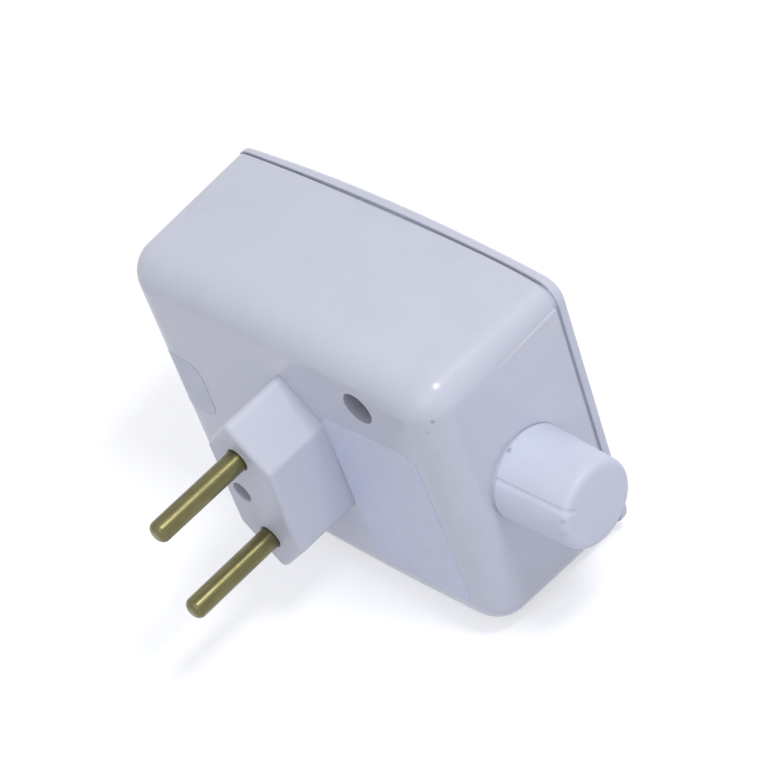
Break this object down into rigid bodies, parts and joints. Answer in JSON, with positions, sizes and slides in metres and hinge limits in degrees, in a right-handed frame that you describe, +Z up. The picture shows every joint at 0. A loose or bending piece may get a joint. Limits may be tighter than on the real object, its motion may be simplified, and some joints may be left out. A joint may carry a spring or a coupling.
{
  "type": "plug-in dimmer",
  "caption": "Box-shaped plug-in lamp dimmer with round plug pins, a side knob and a recessed outlet in its cover.",
  "frame": {"origin": "middle of the two plug pins, on the front face of the plug", "axes": "+X towards the knob, +Y from the plug towards the cover, +Z up; the pins point along -Y"},
  "size_m": [0.0898, 0.0647, 0.0594],
  "materials": {
    "shell": "satin moulded white with a cool tint",
    "insert": "satin moulded white",
    "knob": "fine matt moulded white",
    "brass": "turned, slightly tarnished",
    "steel": "zinc plated",
    "aluminium": "mill finish",
    "board": "phenolic paper",
    "dark_plastic": "moulded",
    "copper": "enamelled copper wire",
    "film_yellow": "moulded case",
    "film_blue": "moulded case",
    "resistor_tan": "lacquered",
    "wire_black": "vinyl",
    "wire_red": "vinyl",
    "wire_blue": "vinyl"
  },
  "bodies": {
    "box": {"rear_housing": "shell", "front_cover": "shell", "outlet_cap": "shell", "plug_block": "insert", "outlet_block": "insert", "plug_pin_live": "brass", "plug_pin_neutral": "brass", "outlet_contact_live": "brass", "outlet_contact_neutral": "brass", "pot_terminals": "brass", "cover_screws": "steel", "heat_sink_screw": "steel", "heat_sink_nut": "steel", "pot_washer": "steel", "pot_nut": "steel", "pot_can": "steel", "heat_sink": "aluminium", "pot_bushing": "aluminium", "circuit_board": "board", "pot_track": "board", "triac": "dark_plastic", "noise_choke_core": "dark_plastic", "noise_choke_winding": "copper", "noise_capacitor": "film_yellow", "timing_capacitor": "film_blue", "diac": "film_blue", "timing_resistor": "resistor_tan", "series_resistor": "resistor_tan", "live_wire": "wire_black", "load_wire": "wire_red", "neutral_wire": "wire_blue"},
    "dial": {"knob": "knob", "pot_shaft": "aluminium", "pot_wiper": "dark_plastic"}
  },
  "joints": [
    {"name": "knob_turn", "type": "hinge", "parent": "box", "child": "dial", "pos_m": [0.0375, 0.0282, 0], "axis": [1, 0, 0], "range_deg": [-295, 5]}
  ]
}
